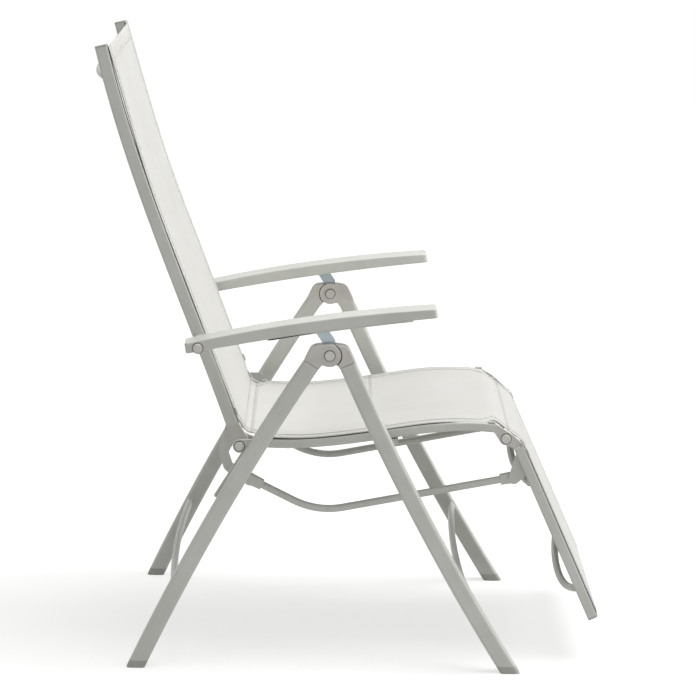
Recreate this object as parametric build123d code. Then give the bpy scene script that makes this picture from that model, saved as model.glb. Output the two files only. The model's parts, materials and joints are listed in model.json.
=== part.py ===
from build123d import *
import math
import os

os.makedirs("parts", exist_ok=True)

# Folding garden recliner. Side-view points are (forward, up) from the middle of the feet, on the floor.
# The chair faces -Y, +Z is up and X = 0 is the plane of symmetry.

# Joints seen from the side
HUB = (0, 561)
HINGE = (-153, 394)
KNEE = (310, 405)
CRANK_ARM = (17, -76)
ARM_PIVOT = (-225.6, 570.3)
CATCH = (-18, 606.5)
REST_PIN = (107, 389)

# Widths, from the plane of symmetry
LEGS_OUT = 310
LEG_WIDE = 25
BOSS_LONG = 45
RAIL_WIDE = 18
ARM_WIDE = 52

# Legs
LEG_TOP = (31, 544)
LEG_FOOT = (338, -20)
LEG_BOW = 12
LEG_DEEP = 29
LEG_ROUND = 6
LEG_WALL = 1.8
FOOT_CAP = 13
FOOT_PLUG = 22
FIT_GAP = 0.2
LEG_BARS_AT = {"rear": (-264, 147), "front": (242, 150)}
LEG_BAR = (16, 12)
LEG_BAR_BOW = 8

# Hub
DISC = 20
DISC_OUT = 12.5
STRUT_THICK = 4.6
SHOULDER = (20, 562)
SHOULDER_ROUND = 16.5
STRUT_NECK = (-1, 582)
STRUT_ROUNDS = (10.4, 5)
STRUT_HEAD_HALF = 6
SIDE_GAP = 0.4
TURN_GAP = 0.05
SWEEP_GAP = 1.5
HUB_BOLT = 4
CAP_ROUND = 8.5
CAP_THICK = 2.2
CATCH_PIN = 3
STEP_ROUND = 2.5

# Armrests
ARM_TOP = ((-249, 577.2), (-40, 619.5), (181, 645.5))
ARM_UNDER = ((-246, 559.5), (-40, 598.3), (184, 629.5))
ARM_CORNER = 2.5
ARM_END_ROUND = 7
ARM_CEILING = 2.4
ARM_WALL = 3.5
ARM_GROOVE_ENDS = (-150, 160)
TOOTH_BAR_WIDE = 8
TOOTH_BAR_ENDS = (-84, 132)
LIP_ENDS = (-107, 141)
TOOTH_GAP = 0.6
LIP_THICK = 2
LIP_BELOW = 2
ARM_BOLT = 4
ARM_BUSH = 6

# Recline stops in degrees, and the armrest's turn for each degree of recline
STOP_ANGLES = (-8, 0, 9, 18, 27, 36, 50)
ARM_RATIO = -0.66
ARM_DROP_ANGLE = 0.7
NOTCH_GAP = 0.5

# Back
BACK_WAY = ((-166.5, 420), (-243.5, 621), (-325.8, 838), (-397, 1073.5))
BACK_DEEP = 22
RAIL_ROUND = 3.5
RAIL_WALL = 1.6
PLUG_LENGTH = 26
PLUG_WIDE = 5
SLING_THICK = 2
SLING_SLOT = 2.8
SLING_IN_SLOT = 8
SLING_BELOW = 3.2
SLING_STEPS = 8
BACK_SLING_SHARES = (0.005, 0.985)
SEAT_SLING_SHARES = (0.02, 0.985)
LEGREST_SLING_SHARES = (0.01, 0.985)
BOW_ROUND = 8
BOW_DEEP = 23
BOW_SHARE = 0.93
SHOULDER_SHARE = 0.8
BACK_BAR_ROUND = 7
BACK_BAR_SHARE = 0.28
EAR_ROUND = 14
EAR_GAP = 0.5
LAP_ROUND = 24
HINGE_PIN = 4
BOSS_ROUND = 11.6
BRACKET_THICK = 5
BRACKET_WAY = ((-132, 400), (-193, 306))
BRACKET_ROUNDS = (6, 3)

# Cranks and rods
CRANK_THICK = 7
CRANK_WAY = ((-170.2, 418.5), (-178, 389), (-182, 366), (-174, 343), (-157, 328))
CRANK_PAD = 7
CRANK_BAND = 17
ROD_ROUND = 6.5
ROD_DIP = ((-30, 266), (14, 266))
ROD_FORK = (24, 17, 13)
ROD_BEND = 140
ROD_PIN = 4
EYE_ROUND = 9.5

# Seat
SEAT_WAY = ((-132, 391), (-35, 390.5), (75, 404.5), (190, 422), (290, 423))
SEAT_DEEP = 16
SEAT_PLUG = 12
SEAT_BAR_ROUND = 5.5
SEAT_BARS = ((-70, 383.5), (262, 418.5))
SADDLE = (30, 12)
PIN_REST = 5
REST_GAP = 0.3

# Leg rest
LEGREST_WAY = ((333, 389), (472, 85))
LEGREST_DEEP = 18
KNEE_EAR = 11.6
UPPER_BOW = ((356, 323), (336, 318))
LOWER_BOW = ((442, 135), (427, 105))
BOW_TUBE = 6.5
LUG_SHARES = (0.06, 0.14)
LUG_BACK = 5.5
END_CAP = 3


def side(across):
    return Plane(origin=(across, 0, 0), x_dir=(0, -1, 0), z_dir=(-1, 0, 0))


def flip(solid):
    return mirror(solid, about=Plane.YZ)


def spot(way, across=0):
    return (across, -way[0], way[1])


def slab(face, inner, outer):
    """Flat side-view shape between two distances from the plane of symmetry, on the chair's left."""
    return extrude(side(outer) * face, amount=outer - inner)


def dot(at, radius):
    return Pos(at[0], at[1]) * Circle(radius)


def rod(at, radius, inner, outer):
    return slab(dot(at, radius), inner, outer)


def hull(*shapes):
    edges = []
    for shape in shapes:
        edges += shape.edges()
    return make_hull(edges)


def bent(points, across, wide, deep, corner):
    """Bar of rounded section along a curve in a side plane."""
    spots = [spot(way, across) for way in points]
    way = Spline(*spots) if len(spots) > 2 else Line(*spots)
    start = Plane(origin=way @ 0, x_dir=(1, 0, 0), z_dir=way % 0)
    return sweep(start * RectangleRounded(wide, deep, corner), path=way)


def tube(points, across, wide, deep, corner, wall):
    outer = bent(points, across, wide, deep, corner)
    inner = bent(points, across, wide - 2 * wall, deep - 2 * wall, max(corner - wall, wall / 2))
    return outer - inner


def round_bar(points, radius):
    way = Spline(*points) if len(points) > 2 else Line(*points)
    start = Plane(origin=way @ 0, z_dir=way % 0)
    return sweep(start * Circle(radius), path=way)


def along(start, end, share):
    return tuple(a + (b - a) * share for a, b in zip(start, end))


def shifted(start, end, share, offset):
    """Point on the line from start to end, moved to the left of it by the offset."""
    at = along(start, end, share)
    length = math.dist(start, end)
    return (at[0] - (end[1] - start[1]) / length * offset, at[1] + (end[0] - start[0]) / length * offset)


def middle_line(points, share):
    """Place and direction of a rail's middle line at a share of its length."""
    spots = [spot(point) for point in points]
    way = Spline(*spots) if len(spots) > 2 else Line(*spots)
    at, run = way @ share, way % share
    return (-at.Y, at.Z), (-run.Y, run.Z)


def beside(points, share, offset):
    """Point beside the middle line, to the left of it by the offset."""
    at, run = middle_line(points, share)
    return (at[0] - run[1] * offset, at[1] + run[0] * offset)


def beyond_end(points, share, distance):
    """Point straight on from the middle line, along its direction there."""
    at, run = middle_line(points, share)
    return (at[0] + run[0] * distance, at[1] + run[1] * distance)


def turned(point, centre, degrees):
    angle = math.radians(degrees)
    over, up = point[0] - centre[0], point[1] - centre[1]
    return (centre[0] + over * math.cos(angle) - up * math.sin(angle),
            centre[1] + over * math.sin(angle) + up * math.cos(angle))


LEG_IN = LEGS_OUT - LEG_WIDE
LEG_MID = LEGS_OUT - LEG_WIDE / 2
ARM_IN = LEGS_OUT - ARM_WIDE
TEETH_OUT = LEGS_OUT - ARM_WALL
TEETH_IN = TEETH_OUT - TOOTH_BAR_WIDE
RAIL_OUT = LEG_IN - BOSS_LONG
RAIL_IN = RAIL_OUT - RAIL_WIDE
RAIL_MID = RAIL_OUT - RAIL_WIDE / 2
DISC_IN = LEGS_OUT - DISC_OUT
STRUT_IN = DISC_IN - STRUT_THICK
FRONT_DISC_OUT = STRUT_IN - SIDE_GAP
CRANK_PIN = (HINGE[0] + CRANK_ARM[0], HINGE[1] + CRANK_ARM[1])
ROD_PIN_AT = (KNEE[0] + CRANK_ARM[0], KNEE[1] + CRANK_ARM[1])
EAR_SPLIT = RAIL_IN + (RAIL_WIDE - EAR_GAP) / 2
CRANK_OUT = RAIL_IN - SIDE_GAP
CRANK_IN = CRANK_OUT - CRANK_THICK
ROD_OUT = CRANK_IN - SIDE_GAP
ROD_IN = ROD_OUT - ROD_FORK[2]
ROD_AT = (ROD_IN + ROD_OUT) / 2


# Legs: the rear pair leans one way, the front pair the other, and both bow to the rear
def leg_way(sign):
    top, foot = (sign * LEG_TOP[0], LEG_TOP[1]), (sign * LEG_FOOT[0], LEG_FOOT[1])
    return top, shifted(top, foot, 1 / 2, -LEG_BOW), foot


def floor_block(low, high):
    return Pos(0, 0, (low + high) / 2) * Box(4 * LEGS_OUT, 8 * LEGS_OUT, high - low)


def leg_solids(sign):
    """Leg tube and its end cap, which has a plug inside the tube."""
    way = leg_way(sign)
    outer = bent(way, LEG_MID, LEG_WIDE, LEG_DEEP, LEG_ROUND)
    hole = bent(way, LEG_MID, LEG_WIDE - 2 * LEG_WALL, LEG_DEEP - 2 * LEG_WALL, LEG_ROUND - LEG_WALL)
    fit = LEG_WALL + FIT_GAP
    plug = bent(way, LEG_MID, LEG_WIDE - 2 * fit, LEG_DEEP - 2 * fit, LEG_ROUND - fit)
    leg = (outer - hole) - floor_block(-LEGS_OUT, FOOT_CAP)
    cap = (outer & floor_block(0, FOOT_CAP)) + (plug & floor_block(FOOT_CAP / 2, FOOT_CAP + FOOT_PLUG))
    return leg, cap


def hub_outline(sign):
    way = Spline(*[spot(point) for point in leg_way(sign)])
    top, over, up = leg_way(sign)[0], -(way % 0).Y, (way % 0).Z
    half = LEG_DEEP / 2
    seam = Line((top[0] - up * half, top[1] + over * half), (top[0] + up * half, top[1] - over * half))
    shoulder = dot((sign * SHOULDER[0], SHOULDER[1]), SHOULDER_ROUND)
    return hull(dot(HUB, DISC), shoulder) + make_hull(shoulder.edges() + seam.edges())


def spigot(sign):
    """Tongue of the hub fitting inside the top of the leg tube."""
    fit = LEG_WALL + FIT_GAP
    way = leg_way(sign)
    plug = bent(way, LEG_MID, LEG_WIDE - 2 * fit, LEG_DEEP - 2 * fit, LEG_ROUND - fit)
    return plug & floor_block(LEG_TOP[1] - 2 * FOOT_PLUG, LEG_TOP[1] + LEG_DEEP)


def catch_strut():
    foot = hull(dot(HUB, STRUT_ROUNDS[0]), dot(STRUT_NECK, STRUT_ROUNDS[0]))
    rear, front = [dot((CATCH[0] + way, CATCH[1]), STRUT_ROUNDS[1])
                   for way in (-STRUT_HEAD_HALF, STRUT_HEAD_HALF)]
    head = hull(dot(STRUT_NECK, STRUT_ROUNDS[0]), rear, front)
    body = slab(foot + head, STRUT_IN, DISC_IN)
    return body - rod(HUB, HUB_BOLT, STRUT_IN, DISC_IN) - rod(CATCH, CATCH_PIN, STRUT_IN, DISC_IN)


def rear_hub():
    body = slab(hub_outline(-1), LEG_IN, LEGS_OUT)
    body = fillet(body.edges().group_by(Axis.X)[-1], STEP_ROUND)
    body -= rod(HUB, DISC + SWEEP_GAP, LEG_IN, DISC_IN)
    body -= rod(STRUT_NECK, STRUT_ROUNDS[0] + SWEEP_GAP, STRUT_IN - SIDE_GAP, DISC_IN)
    body -= rod(HUB, HUB_BOLT, LEG_IN, LEGS_OUT)
    return body + spigot(-1)


def front_hub():
    body = slab(hub_outline(1), LEG_IN, LEGS_OUT)
    body = fillet(body.edges().group_by(Axis.X)[-1], STEP_ROUND)
    body -= rod(HUB, DISC + SWEEP_GAP, FRONT_DISC_OUT, LEGS_OUT)
    body -= rod(HUB, HUB_BOLT + TURN_GAP, LEG_IN, LEGS_OUT)
    return body + spigot(1)


def hub_bolt():
    shank = rod(HUB, HUB_BOLT, LEG_IN - SIDE_GAP, LEGS_OUT)
    cap = rod(HUB, CAP_ROUND, LEGS_OUT, LEGS_OUT + CAP_THICK)
    nut = rod(HUB, CAP_ROUND, LEG_IN - SIDE_GAP - CAP_THICK, LEG_IN - SIDE_GAP)
    return shank + cap + nut


def leg_bar(name):
    """Slightly bowed oval bar between the inner faces of a pair of legs."""
    at = LEG_BARS_AT[name]
    middle = spot((at[0] - LEG_BAR_BOW, at[1]))
    beyond = LEG_IN + LEG_WALL
    way = ThreePointArc(spot(at, -beyond), middle, spot(at, beyond))
    start = Plane(origin=way @ 0, x_dir=(0, 0, 1), z_dir=way % 0)
    return between(sweep(start * Ellipse(LEG_BAR[0] / 2, LEG_BAR[1] / 2), path=way), LEG_IN)


def hinge_bracket():
    """Gusset on the leg's inner face with the long boss that carries the back and the seat."""
    head, foot = [dot(at, radius) for at, radius in zip(BRACKET_WAY, BRACKET_ROUNDS)]
    plate = hull(dot(HINGE, BOSS_ROUND), head) + hull(head, foot)
    body = slab(plate, LEG_IN - BRACKET_THICK, LEG_IN) + rod(HINGE, BOSS_ROUND, RAIL_OUT + EAR_GAP, LEG_IN)
    return body - rod(HINGE, HINGE_PIN + TURN_GAP, RAIL_OUT, LEG_IN)


def rest_pin():
    inner = rod(REST_PIN, PIN_REST, RAIL_IN, LEG_IN)
    flange = rod(REST_PIN, BOSS_ROUND, LEG_IN - BRACKET_THICK, LEG_IN)
    collar = rod(REST_PIN, BOSS_ROUND - CATCH_PIN, RAIL_OUT + REST_GAP, LEG_IN - BRACKET_THICK)
    return inner + flange + collar


# Armrests
def arm_band(top, under):
    upper = ThreePointArc(*top)
    lower = ThreePointArc(*under)
    return make_face([upper, Line(upper @ 1, lower @ 1), lower, Line(lower @ 0, upper @ 0)])


def pin_in_arm(stop, drop=0):
    """Where the catch pin lies in the armrest's own frame at one recline stop."""
    pivot = turned(ARM_PIVOT, HINGE, stop)
    seen = turned(CATCH, pivot, -(1 + ARM_RATIO) * stop + drop)
    return (seen[0] - pivot[0] + ARM_PIVOT[0], seen[1] - pivot[1] + ARM_PIVOT[1])


def tooth_edge(point, gap):
    """Point of the toothed bar's lower edge over a pin position."""
    return (point[0], point[1] + CATCH_PIN + gap)


def groove_band(below=BOSS_ROUND):
    """Long hollow of the armrest, from just under its top to a distance below its underside."""
    high = [(way[0], way[1] - ARM_CEILING) for way in ARM_TOP]
    low = [(way[0], way[1] - below) for way in ARM_UNDER]
    return arm_band(high, low)


def armrest():
    solid = slab(arm_band(ARM_TOP, ARM_UNDER), ARM_IN, LEGS_OUT)
    solid = fillet(solid.edges().filter_by(lambda edge: abs(edge.tangent_at(0).Z) > 1 / 2), ARM_END_ROUND)
    solid = fillet(solid.faces().sort_by(SortBy.AREA)[-2:].edges(), ARM_CORNER)
    start, end = ARM_GROOVE_ENDS
    groove = groove_band() & Pos((start + end) / 2, ARM_PIVOT[1]) * Rectangle(end - start, ARM_TOP[2][1])
    solid -= slab(groove, TEETH_IN - 2 * STRUT_THICK, TEETH_OUT)
    start, end = LIP_ENDS
    window = Pos((start + end) / 2, ARM_PIVOT[1]) * Rectangle(end - start, ARM_TOP[2][1])
    lip = groove_band(LIP_BELOW) & window
    solid += slab(lip, TEETH_OUT, TEETH_OUT + LIP_THICK)
    return solid - rod(ARM_PIVOT, ARM_BUSH + TURN_GAP, ARM_IN, LEGS_OUT)


def toothed_bar():
    edge = [tooth_edge(pin_in_arm(stop), TOOTH_GAP) for stop in STOP_ANGLES]
    rear, middle, front = edge[0], edge[len(edge) // 2], edge[-1]
    arc = ThreePointArc(rear, middle, front)
    before, after = arc % 0, arc % 1
    start = (TOOTH_BAR_ENDS[0], rear[1] + (TOOTH_BAR_ENDS[0] - rear[0]) * before.Y / before.X)
    end = (TOOTH_BAR_ENDS[1], front[1] + (TOOTH_BAR_ENDS[1] - front[0]) * after.Y / after.X)
    lift = BOSS_ROUND * 2
    outline = make_face([Line(start, rear), arc, Line(front, end), Line(end, (end[0], end[1] + lift)),
                         Line((end[0], end[1] + lift), (start[0], start[1] + lift)),
                         Line((start[0], start[1] + lift), start)])
    bar = outline & groove_band()
    for stop in STOP_ANGLES:
        bar -= hull(dot(pin_in_arm(stop, -ARM_DROP_ANGLE), CATCH_PIN + NOTCH_GAP),
                    dot(pin_in_arm(stop, ARM_DROP_ANGLE), CATCH_PIN + NOTCH_GAP))
    return slab(bar, TEETH_IN, TEETH_OUT)


def arm_bolt():
    """Bolt fixed in the back rail; its end turns inside the shouldered barrel, short of the armrest."""
    inner = RAIL_OUT - RAIL_WALL - CAP_THICK
    shank = rod(ARM_PIVOT, ARM_BOLT, inner, ARM_IN - SIDE_GAP)
    nut = rod(ARM_PIVOT, ARM_BOLT + CAP_THICK, inner, RAIL_OUT - RAIL_WALL - FIT_GAP)
    return shank + nut


def arm_bush():
    """Shouldered barrel that the armrest turns on, capped over the armrest's outer side."""
    sleeve = rod(ARM_PIVOT, ARM_BUSH, RAIL_OUT + SIDE_GAP, LEGS_OUT + SIDE_GAP)
    flange = rod(ARM_PIVOT, BOSS_ROUND, RAIL_OUT + SIDE_GAP, ARM_IN - SIDE_GAP)
    cap = rod(ARM_PIVOT, CAP_ROUND, LEGS_OUT + SIDE_GAP, LEGS_OUT + SIDE_GAP + CAP_THICK)
    return sleeve + flange + cap - rod(ARM_PIVOT, ARM_BOLT + TURN_GAP, RAIL_OUT, ARM_IN)


# Back
def slot_cut(points, depth, face_side):
    """Groove in a rail's inner side that takes the edge of the sling."""
    middle = RAIL_IN + SLING_IN_SLOT / 2
    way = offset_way(points, face_side * (depth / 2 - SLING_BELOW))
    return bent(way, middle, SLING_IN_SLOT, SLING_SLOT, SLING_SLOT / 8)


def offset_way(points, offset):
    """The same way moved sideways; positive is to the left of its direction."""
    last = len(points) - 1
    moved = []
    for index, point in enumerate(points):
        before, after = points[max(index - 1, 0)], points[min(index + 1, last)]
        length = math.dist(before, after)
        moved.append((point[0] - (after[1] - before[1]) / length * offset,
                      point[1] + (after[0] - before[0]) / length * offset))
    return moved


def grooved_rail(points, deep, face_side):
    rail = tube(points, RAIL_MID, RAIL_WIDE, deep, RAIL_ROUND, RAIL_WALL)
    core = offset_way(points, face_side * (deep / 2 - SLING_BELOW))
    seat = bent(core, RAIL_IN + (SLING_IN_SLOT + RAIL_WALL) / 2, SLING_IN_SLOT + RAIL_WALL,
                SLING_SLOT + 2 * RAIL_WALL, SLING_SLOT / 4)
    solid = bent(points, RAIL_MID, RAIL_WIDE, deep, RAIL_ROUND)
    return rail + (seat & solid) - slot_cut(points, deep, face_side)


def sling(points, deep, face_side, start_share, end_share):
    """Cloth panel with its edges in the grooves of both rails."""
    core = offset_way(points, face_side * (deep / 2 - SLING_BELOW))
    if len(core) > 2:
        whole = Spline(*[spot(point) for point in core])
        step = (end_share - start_share) / SLING_STEPS
        way = Spline(*[whole @ (start_share + step * index) for index in range(SLING_STEPS + 1)])
    else:
        way = Line(spot(along(*core, start_share)), spot(along(*core, end_share)))
    start = Plane(origin=way @ 0, x_dir=(1, 0, 0), z_dir=way % 0)
    wide = 2 * (RAIL_IN + SLING_IN_SLOT - SIDE_GAP)
    return sweep(start * Rectangle(wide, SLING_THICK), path=way)


def between(solid, half_width):
    """What lies within a distance of the plane of symmetry."""
    high = LEG_TOP[1] + BACK_WAY[-1][1]
    return solid & Pos(0, 0, high / 2) * Box(2 * half_width, 2 * high, 2 * high)


def crossbow(points, radius):
    """Round bar between the rails, from one inner face to the other, bowed at mid-width."""
    near, middle = points
    shoulder = along(near, middle, SHOULDER_SHARE)
    reach = RAIL_IN / 2
    beyond = RAIL_IN + radius
    way = Spline(spot(near, -beyond), spot(shoulder, -reach), spot(middle), spot(shoulder, reach),
                 spot(near, beyond))
    start = Plane(origin=way @ 0, z_dir=way % 0)
    return between(sweep(start * Circle(radius), path=way), RAIL_IN)


def back_fitting():
    """Plug in the foot of the back rail and the outer ear on the hinge."""
    half = BACK_DEEP / 2
    seam = Line(beside(BACK_WAY, 0, half), beside(BACK_WAY, 0, -half))
    outline = make_hull(dot(HINGE, EAR_ROUND - EAR_GAP).edges() + seam.edges())
    body = slab(outline, RAIL_IN, RAIL_OUT)
    body -= rod(HINGE, LAP_ROUND, RAIL_IN, EAR_SPLIT + EAR_GAP)
    body -= rod(HINGE, HINGE_PIN + TURN_GAP, RAIL_IN, RAIL_OUT)
    fit = RAIL_WALL + FIT_GAP
    tongue = (BACK_WAY[0], beyond_end(BACK_WAY, 0, PLUG_LENGTH))
    plug = bent(tongue, RAIL_OUT - fit - PLUG_WIDE / 2, PLUG_WIDE, BACK_DEEP - 2 * fit, RAIL_ROUND / 2)
    return body + plug


def crank():
    """Plate from the back's fitting round behind the hinge boss to the rod pin."""
    points = [*CRANK_WAY, CRANK_PIN]
    plate = Sketch()
    for before, after in zip(points, points[1:]):
        plate += hull(dot(before, CRANK_BAND / 2), dot(after, CRANK_BAND / 2))
    plate += dot(CRANK_PIN, EYE_ROUND)
    body = slab(plate, CRANK_IN, CRANK_OUT) + rod(CRANK_WAY[0], CRANK_PAD, CRANK_OUT, RAIL_IN)
    body -= rod(CRANK_PIN, ROD_PIN + TURN_GAP, CRANK_IN, CRANK_OUT)
    return body - rod(HINGE, HINGE_PIN + CAP_THICK + SIDE_GAP, CRANK_IN, CRANK_OUT)


def rail_cap(points, deep):
    """Plastic cap over the open end of a rail, with a short plug."""
    head = points[-1]
    fit = RAIL_WALL + FIT_GAP
    lid = bent((head, beyond_end(points, 1, END_CAP)), RAIL_MID, RAIL_WIDE, deep, RAIL_ROUND)
    plug = bent((beyond_end(points, 1, -PLUG_LENGTH), head), RAIL_OUT - fit - PLUG_WIDE / 2, PLUG_WIDE,
                deep - 2 * fit, RAIL_ROUND / 2)
    return lid + plug


# Seat
def plug_under(tongue, deep):
    """Plug as wide as the inside of a rail, in the space under the sling's groove."""
    fit = RAIL_WALL + 2 * FIT_GAP
    top = deep / 2 - SLING_BELOW - SLING_SLOT / 2 - fit
    bottom = fit - deep / 2
    under = offset_way(tongue, (top + bottom) / 2)
    return bent(under, RAIL_MID, RAIL_WIDE - 2 * fit, top - bottom, RAIL_ROUND / 4)


def seat_seam(share):
    """Cross line of the seat rail's side view at one end, with the line of a plug inside the rail."""
    half = SEAT_DEEP / 2
    seam = Line(beside(SEAT_WAY, share, half), beside(SEAT_WAY, share, -half))
    return seam, (beside(SEAT_WAY, share, 0), beyond_end(SEAT_WAY, share, SEAT_PLUG * (1 - 2 * share)))


def seat_rear_fitting():
    """Inner ear on the hinge, with its plug below the sling's groove."""
    seam, tongue = seat_seam(0)
    outline = make_hull(dot(HINGE, EAR_ROUND - EAR_GAP).edges() + seam.edges())
    body = slab(outline, RAIL_IN, RAIL_OUT)
    body -= rod(HINGE, 2 * LAP_ROUND, EAR_SPLIT, RAIL_OUT)
    body -= rod(HINGE, HINGE_PIN + TURN_GAP, RAIL_IN, RAIL_OUT)
    return body + plug_under(tongue, SEAT_DEEP)


def seat_front_fitting():
    """Elbow from the end of the seat rail down to the outer ear on the knee hinge."""
    seam, tongue = seat_seam(1)
    outline = make_hull(dot(KNEE, KNEE_EAR).edges() + seam.edges())
    body = slab(outline, RAIL_IN, RAIL_OUT)
    body -= rod(KNEE, LAP_ROUND, RAIL_IN, EAR_SPLIT + EAR_GAP)
    body -= rod(KNEE, HINGE_PIN + TURN_GAP, RAIL_IN, RAIL_OUT)
    fit = RAIL_WALL + 2 * FIT_GAP
    return body + bent(tongue, RAIL_OUT - fit - PLUG_WIDE / 2, PLUG_WIDE, SEAT_DEEP - 2 * fit, RAIL_ROUND / 2)


def saddle():
    """Half-round shoe under the seat rail that stands on the front leg's pin."""
    wide, deep = SADDLE
    block = Pos(REST_PIN[0], REST_PIN[1] + deep / 2) * Rectangle(wide, deep)
    block -= dot(REST_PIN, PIN_REST + REST_GAP)
    rail = bent(SEAT_WAY, RAIL_MID, RAIL_WIDE, SEAT_DEEP, RAIL_ROUND)
    body = slab(block, RAIL_IN, RAIL_OUT) - rail
    return body.solids().sort_by(Axis.Z)[0]


# Leg rest
def legrest_fitting():
    """Inner ear on the knee hinge, with its plug in the rail below the sling's groove."""
    half = LEGREST_DEEP / 2
    seam = Line(beside(LEGREST_WAY, 0, half), beside(LEGREST_WAY, 0, -half))
    outline = make_hull(dot(KNEE, KNEE_EAR).edges() + seam.edges())
    body = slab(outline, RAIL_IN, RAIL_OUT)
    body -= rod(KNEE, 2 * LAP_ROUND, EAR_SPLIT, RAIL_OUT)
    body -= rod(KNEE, HINGE_PIN + TURN_GAP, RAIL_IN, RAIL_OUT)
    return body + plug_under((LEGREST_WAY[0], beyond_end(LEGREST_WAY, 0, PLUG_LENGTH)), LEGREST_DEEP)


def rod_lug():
    """Plate on the inner face of the leg rest's rail, with the fixed pin for the rod's eye."""
    up, down = [beside(LEGREST_WAY, share, -LUG_BACK) for share in LUG_SHARES]
    plate = hull(dot(up, EYE_ROUND - CAP_THICK), dot(ROD_PIN_AT, EYE_ROUND), dot(down, EYE_ROUND - CAP_THICK))
    body = slab(plate, CRANK_IN, RAIL_IN)
    pin = rod(ROD_PIN_AT, ROD_PIN, ROD_IN - SIDE_GAP, CRANK_IN)
    head = rod(ROD_PIN_AT, ROD_PIN + CAP_THICK, ROD_IN - SIDE_GAP - CAP_THICK, ROD_IN - SIDE_GAP)
    return body + pin + head


def hinge_pin(at, outer):
    shank = rod(at, HINGE_PIN, RAIL_IN - SIDE_GAP, outer)
    cap = rod(at, CAP_ROUND, outer, outer + CAP_THICK)
    nut = rod(at, HINGE_PIN + CAP_THICK, RAIL_IN - SIDE_GAP - CAP_THICK, RAIL_IN - SIDE_GAP)
    return shank + cap + nut


# Connecting rods between the cranks and the leg rest
def rod_end(at, toward):
    """Flattened block with the eye for a pin, and a socket end toward the rod."""
    long, deep, _ = ROD_FORK
    length = math.dist(at, toward)
    far = along(at, toward, long / length)
    half = deep / 2
    end = Line(shifted(far, at, 0, half), shifted(far, at, 0, -half))
    outline = make_hull(dot(at, EYE_ROUND).edges() + end.edges())
    return slab(outline, ROD_IN, ROD_OUT) - rod(at, ROD_PIN + TURN_GAP, ROD_IN, ROD_OUT)


def rod_bar():
    rear = along(CRANK_PIN, ROD_DIP[0], ROD_FORK[0] / math.dist(CRANK_PIN, ROD_DIP[0]))
    front = along(ROD_PIN_AT, ROD_DIP[1], ROD_FORK[0] / math.dist(ROD_PIN_AT, ROD_DIP[1]))
    points = [rear, *ROD_DIP, front]
    path = FilletPolyline(*[spot(point, ROD_AT) for point in points], radius=ROD_BEND)
    start = Plane(origin=path @ 0, z_dir=path % 0)
    return sweep(start * Circle(ROD_ROUND), path=path)


def rod_pin():
    shank = rod(CRANK_PIN, ROD_PIN, ROD_IN - SIDE_GAP, CRANK_OUT + SIDE_GAP)
    head = rod(CRANK_PIN, ROD_PIN + CAP_THICK, ROD_IN - SIDE_GAP - CAP_THICK, ROD_IN - SIDE_GAP)
    return shank + head


parts = {}


def keep(name, *solids):
    found = []
    for solid in solids:
        found += solid.solids()
    parts[name] = Compound(children=found) if len(found) > 1 else found[0]


def pair(name, solid):
    keep(name + "_left", solid)
    keep(name + "_right", flip(solid))


def both(name, solid):
    keep(name, solid, flip(solid))


def build():
    for name, sign, hub in (("rear", -1, rear_hub), ("front", 1, front_hub)):
        leg, cap = leg_solids(sign)
        pair(name + "_leg", leg)
        both(name + "_foot_caps", cap)
        pair(name + "_hub", hub())
        keep(name + "_leg_bar", leg_bar(name))
    both("hub_bolts", hub_bolt())
    pair("catch_strut", catch_strut())
    both("catch_pins", rod(CATCH, CATCH_PIN, STRUT_IN, TEETH_OUT - SIDE_GAP))
    pair("hinge_bracket", hinge_bracket())
    both("seat_rest_pins", rest_pin())

    pair("armrest", armrest())
    pair("toothed_bar", toothed_bar())
    both("arm_bolts", arm_bolt())
    both("arm_bushes", arm_bush())

    rail = grooved_rail(BACK_WAY, BACK_DEEP, -1)
    pair("back_rail", rail - rod(ARM_PIVOT, ARM_BOLT + TURN_GAP, RAIL_MID, RAIL_OUT))
    pair("back_fitting", back_fitting())
    pair("crank", crank())
    both("back_end_caps", rail_cap(BACK_WAY, BACK_DEEP))
    near = beside(BACK_WAY, BOW_SHARE, BOW_ROUND / 2)
    keep("back_top_bow", crossbow((near, (near[0] - BOW_DEEP, near[1] - BOW_DEEP / 4)), BOW_ROUND))
    low = beside(BACK_WAY, BACK_BAR_SHARE, BACK_BAR_ROUND / 2)
    keep("back_lower_bar", round_bar((spot(low, -RAIL_IN), spot(low, RAIL_IN)), BACK_BAR_ROUND))
    keep("back_sling", sling(BACK_WAY, BACK_DEEP, -1, *BACK_SLING_SHARES))

    pair("seat_rail", grooved_rail(SEAT_WAY, SEAT_DEEP, 1))
    pair("seat_rear_fitting", seat_rear_fitting())
    pair("seat_front_fitting", seat_front_fitting())
    both("seat_saddles", saddle())
    for name, at in zip(("seat_rear_bar", "seat_front_bar"), SEAT_BARS):
        keep(name, round_bar((spot(at, -RAIL_IN), spot(at, RAIL_IN)), SEAT_BAR_ROUND))
    keep("seat_sling", sling(SEAT_WAY, SEAT_DEEP, 1, *SEAT_SLING_SHARES))

    both("back_hinge_pins", hinge_pin(HINGE, LEG_IN))
    both("knee_pins", hinge_pin(KNEE, RAIL_OUT))

    pair("legrest_rail", grooved_rail(LEGREST_WAY, LEGREST_DEEP, 1))
    pair("legrest_fitting", legrest_fitting())
    both("rod_lugs", rod_lug())
    both("legrest_end_caps", rail_cap(LEGREST_WAY, LEGREST_DEEP))
    keep("legrest_upper_bow", crossbow(UPPER_BOW, BOW_TUBE))
    keep("legrest_lower_bow", crossbow(LOWER_BOW, BOW_TUBE))
    keep("legrest_sling", sling(LEGREST_WAY, LEGREST_DEEP, 1, *LEGREST_SLING_SHARES))

    pair("link_rod", rod_bar() + rod_end(CRANK_PIN, ROD_DIP[0]) + rod_end(ROD_PIN_AT, ROD_DIP[1]))
    both("crank_pins", rod_pin())


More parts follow.
